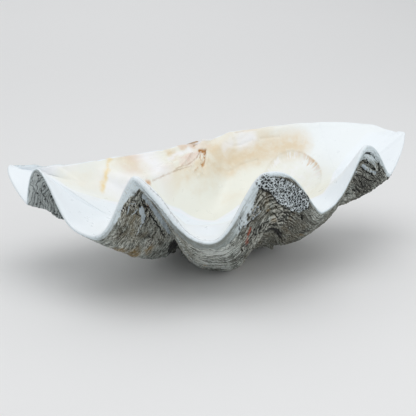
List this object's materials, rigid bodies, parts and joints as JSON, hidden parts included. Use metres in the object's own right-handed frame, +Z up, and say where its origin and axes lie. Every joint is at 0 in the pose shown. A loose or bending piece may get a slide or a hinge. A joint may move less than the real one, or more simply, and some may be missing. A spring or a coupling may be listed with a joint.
{
  "type": "giant clam shell",
  "caption": "One valve of a giant clam, a broad deep bowl with a wavy folded front edge, a hinge ridge at the back and a worn outer skin, lying open side up.",
  "frame": {"origin": "middle of the bounding box in plan, at the height of the flat worn patch that the shell rests on", "axes": "+Z up out of the open bowl, +X along the length toward the taller end of the back edge, +Y toward the hinge, so the wavy edge faces -Y"},
  "size_m": [0.7414, 0.4514, 0.2327],
  "materials": {
    "worn_shell": "satin inside, matt and rough outside"
  },
  "bodies": {
    "root": {"giant_clam_shell": "worn_shell"}
  },
  "joints": []
}
